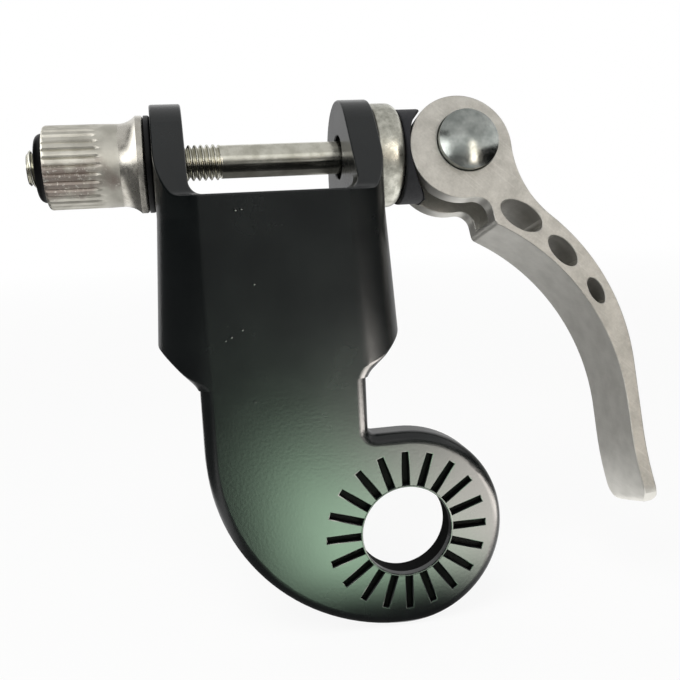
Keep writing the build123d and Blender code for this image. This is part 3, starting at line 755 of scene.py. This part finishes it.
world = bpy.data.worlds.new("whiteSurroundings")
bpy.context.scene.world = world
world.use_nodes = True
sky = world.node_tree
sky.nodes.clear()
level = addNode(sky, "ShaderNodeMapRange",
                {"Value": seenRays(sky), "To Min": stageValues["ambient"], "To Max": 1.0})
white = addNode(sky, "ShaderNodeBackground", {"Color": (1.0, 1.0, 1.0, 1.0), "Strength": level})
addNode(sky, "ShaderNodeOutputWorld", {"Surface": white})

lampValues = {"at": Vector((-0.16, -0.22, 0.42)), "aim": Vector((-0.005, 0.01, 0.035)), "size": 0.30,
              "power": 1.6}
light = bpy.data.lights.new("keyAbove", "AREA")
light.shape = "RECTANGLE"
light.size = light.size_y = lampValues["size"]
light.energy = lampValues["power"]
lamp = bpy.data.objects.new("keyAbove", light)
bpy.context.scene.collection.objects.link(lamp)
lamp.location = lampValues["at"]
lamp.rotation_euler = (lampValues["aim"] - lampValues["at"]).to_track_quat("-Z", "Y").to_euler()
lamp.visible_camera = False
lamp.visible_glossy = False

# Studio cards that only reflections see: turns are degrees round the object, tops and rises are heights
cardValues = {"distance": 0.36, "cloth": "#0b0c0c", "white": "#ffffff", "warmWhite": "#fff4e8",
              "frontTurn": (-18, 19), "frontLeftTurn": (-60, -18), "leftTurn": (-135, -60),
              "windowTurn": (19, 31), "rightTurn": (31, 110), "backRightTurn": (110, 168),
              "backLeftTurn": (168, 225),
              "roomTop": 0.17, "wallTop": 0.06, "sideTop": 0.20, "sideEnd": 0.45, "windowTop": 0.22,
              "rightTop": 0.13, "backTop": 0.12,
              "roomRise": (0.07, 0.13), "sideRise": (0.07, 0.10), "sideFall": (0.22, 0.34),
              "windowRise": (-0.01, 0.03),
              "roomLevels": (0.18, 0.7), "sideLevels": (0.05, 2.6), "sideEndLevels": (2.6, 0.2),
              "windowLevels": (0.15, 3.6), "wallLevel": 0.09, "backLevel": 0.6,
              "ceilingLevel": 0.64, "ceilingZ": 0.45, "ceilingHalf": 0.5,
              "tableLift": 0.8 * mm, "poolLift": 1.2 * mm}


def studioCard(name, corners, material):
    mesh = bpy.data.meshes.new(name)
    mesh.from_pydata(corners, [], [(0, 1, 2, 3)])
    mesh.materials.append(material)
    card = bpy.data.objects.new(name, mesh)
    bpy.context.scene.collection.objects.link(card)
    card.visible_camera = False
    card.visible_diffuse = False
    card.visible_shadow = False
    return card


def standing(turns, low, high):
    ends = [math.radians(turn) for turn in turns]
    a, b = (Vector((math.sin(end), -math.cos(end))) * cardValues["distance"] for end in ends)
    return [(a.x, a.y, low), (b.x, b.y, low), (b.x, b.y, high), (a.x, a.y, high)]


def lying(x, y, z):
    return [(x[0], y[0], z), (x[1], y[0], z), (x[1], y[1], z), (x[0], y[1], z)]


def cloth():
    material, tree, place = newMaterial("darkCloth")
    closeMaterial(tree, addNode(tree, "ShaderNodeBsdfDiffuse", {"Color": linear(cardValues["cloth"])}))
    return material


def plainLight(name, strength):
    material, tree, place = newMaterial(name)
    closeMaterial(tree, addNode(tree, "ShaderNodeEmission", {"Strength": strength}))
    return material


# Light that changes evenly with height
def risingLight(name, shade, heights, levels):
    material, tree, place = newMaterial(name)
    height = addNode(tree, "ShaderNodeSeparateXYZ", {0: place}).outputs["Z"]
    level = addNode(tree, "ShaderNodeMapRange",
                    {"Value": height, "From Min": heights[0], "From Max": heights[1],
                     "To Min": levels[0], "To Max": levels[1]})
    closeMaterial(tree, addNode(tree, "ShaderNodeEmission", {"Color": linear(shade), "Strength": level}))
    return material


# A level that fades along x, y, the distance or a slant, each from 0 at the first place to 1 at the second
def faded(tree, level, ways, fades, curve):
    for way, begin, full in fades:
        fade = addNode(tree, "ShaderNodeMapRange",
                       {"Value": ways[way], "From Min": begin, "From Max": full}, interpolation_type=curve)
        level = addNode(tree, "ShaderNodeMath", {0: level, 1: fade}, operation="MULTIPLY")
    return level


poolValues = {"pool": 13.4, "glow": 22.0, "slope": 1.3, "shades": ("#c9efcd", "#f3ece4"),
              "warmSpan": (2 * mm, 28 * mm),
              "poolFades": (("x", -28 * mm, -4 * mm), ("y", -150 * mm, -30 * mm), ("y", -4 * mm, -28 * mm),
                            ("x", 52 * mm, 30 * mm)),
              "glowFades": (("x", 32 * mm, 56 * mm), ("y", -4 * mm, -28 * mm), ("reach", 210 * mm, 150 * mm),
                            ("x", 140 * mm, 100 * mm), ("slant", -60 * mm, -20 * mm))}


# A green pool of light and a warm glow on the table; whatever isn't linked to it looks through to the table
def poolLight():
    v = poolValues
    material, tree, place = newMaterial("poolLight")
    xyz = addNode(tree, "ShaderNodeSeparateXYZ", {0: place}).outputs
    reach = addNode(tree, "ShaderNodeVectorMath", {0: place}, operation="LENGTH").outputs["Value"]
    slant = addNode(tree, "ShaderNodeMath", {0: xyz["X"], 1: v["slope"], 2: xyz["Y"]},
                    operation="MULTIPLY_ADD")
    ways = {"x": xyz["X"], "y": xyz["Y"], "reach": reach, "slant": slant}
    pool = faded(tree, v["pool"], ways, v["poolFades"], "SMOOTHSTEP")
    glow = faded(tree, v["glow"], ways, v["glowFades"], "SMOOTHSTEP")
    level = addNode(tree, "ShaderNodeMath", {0: pool, 1: glow}, operation="ADD")
    lit = addNode(tree, "ShaderNodeEmission",
                  {"Color": twoTone(tree, xyz["X"], v["warmSpan"], v["shades"]), "Strength": level})
    clear = addNode(tree, "ShaderNodeBsdfTransparent")
    closeMaterial(tree, addNode(tree, "ShaderNodeAddShader", {0: lit, 1: clear}))
    return material


tableValues = {"dark": 0.12, "pale": 1.25, "rightFar": 0.42, "rightSpan": (150 * mm, 90 * mm),
               "leftFades": (("x", -38 * mm, -52 * mm), ("y", -140 * mm, -70 * mm),
                             ("x", -80 * mm, -62 * mm)),
               "rightFades": (("x", 8 * mm, 28 * mm),)}


# The table top: dark in front of the object, pale beside it
def tableLight():
    v = tableValues
    material, tree, place = newMaterial("tableLight")
    xyz = addNode(tree, "ShaderNodeSeparateXYZ", {0: place}).outputs
    reach = addNode(tree, "ShaderNodeVectorMath", {0: place}, operation="LENGTH").outputs["Value"]
    ways = {"x": xyz["X"], "y": xyz["Y"]}
    left = faded(tree, 1.0, ways, v["leftFades"], "LINEAR")
    under = addNode(tree, "ShaderNodeMapRange",
                    {"Value": reach, "From Min": v["rightSpan"][0], "From Max": v["rightSpan"][1],
                     "To Min": v["rightFar"]})
    right = faded(tree, under, ways, v["rightFades"], "LINEAR")
    pale = addNode(tree, "ShaderNodeMath", {0: left, 1: right}, operation="MAXIMUM")
    level = addNode(tree, "ShaderNodeMapRange", {"Value": pale, "To Min": v["dark"], "To Max": v["pale"]})
    closeMaterial(tree, addNode(tree, "ShaderNodeEmission", {"Strength": level}))
    return material


# Cards that light only some of the pieces
def showIn(cards, label, pieces):
    group = bpy.data.collections.new(label)
    for piece in pieces:
        group.objects.link(bpy.data.objects[piece])
    for card in cards:
        card.light_linking.receiver_collection = group


v = cardValues
away = v["distance"]
floorTop = stageValues["floorZ"]
coatLights = []
metalLights = []
darkCloth = cloth()
studioCard("frontCard", standing(v["frontTurn"], floorTop, v["roomTop"]),
           risingLight("dimRoom", v["white"], v["roomRise"], v["roomLevels"]))
dimWall = plainLight("dimWall", v["wallLevel"])
studioCard("frontWall", standing(v["frontLeftTurn"], floorTop, v["wallTop"]), dimWall)
studioCard("leftWall", standing(v["leftTurn"], floorTop, v["wallTop"]), dimWall)
for name, turn in (("sideFront", v["frontLeftTurn"]), ("sideLeft", v["leftTurn"])):
    lowLight = risingLight(name + "LowLight", v["white"], v["sideRise"], v["sideLevels"])
    metalLights.append(studioCard(name + "Low", standing(turn, v["wallTop"], v["sideTop"]), lowLight))
    highLight = risingLight(name + "HighLight", v["white"], v["sideFall"], v["sideEndLevels"])
    metalLights.append(studioCard(name + "High", standing(turn, v["sideTop"], v["sideEnd"]), highLight))
studioCard("rightCloth", standing(v["rightTurn"], floorTop, v["rightTop"]), darkCloth)
backWall = plainLight("backWall", v["backLevel"])
for name, turn in (("backRight", v["backRightTurn"]), ("backLeft", v["backLeftTurn"])):
    coatLights.append(studioCard(name, standing(turn, floorTop, v["backTop"]), backWall))
windowLight = risingLight("windowLight", v["warmWhite"], v["windowRise"], v["windowLevels"])
metalLights.append(studioCard("windowCard", standing(v["windowTurn"], floorTop, v["windowTop"]), windowLight))
studioCard("tableCard", lying((-away, away), (-away, away), floorTop + v["tableLift"]), tableLight())
poolCorners = lying((-away, away), (-away, 0.0), floorTop + v["poolLift"])
coatLights.append(studioCard("poolCard", poolCorners, poolLight()))
showIn(coatLights, "coatedPieces", ("hitchBracket", "holeBead", "paintNibs"))
showIn(metalLights, "brightPieces", ("camLever", "pivotBarrel", "cupWasher", "skewerRod", "thumbNut"))
h = v["ceilingHalf"]
studioCard("ceilingCard", lying((-h, h), (-h, h), v["ceilingZ"]),
           plainLight("ceilingPaper", v["ceilingLevel"]))

cameraValues = {"lens": 45.0, "sensor": 36.0, "nearest": 0.005, "at": (-0.03458, -0.12705, 0.05414),
                "right": (0.9789, -0.1991, -0.0459), "forward": (0.1891, 0.9679, -0.1658)}
camera = bpy.data.objects.new("camera", bpy.data.cameras.new("camera"))
bpy.context.scene.collection.objects.link(camera)
camera.data.lens = cameraValues["lens"]
camera.data.sensor_width = cameraValues["sensor"]
camera.data.clip_start = cameraValues["nearest"]
right = Vector(cameraValues["right"]).normalized()
forward = Vector(cameraValues["forward"]).normalized()
facing = Matrix((right, right.cross(forward), -forward)).transposed().to_4x4()
camera.matrix_world = Matrix.Translation(cameraValues["at"]) @ facing
bpy.context.scene.camera = camera
bpy.context.scene.view_settings.view_transform = "Standard"
print("stage ready")
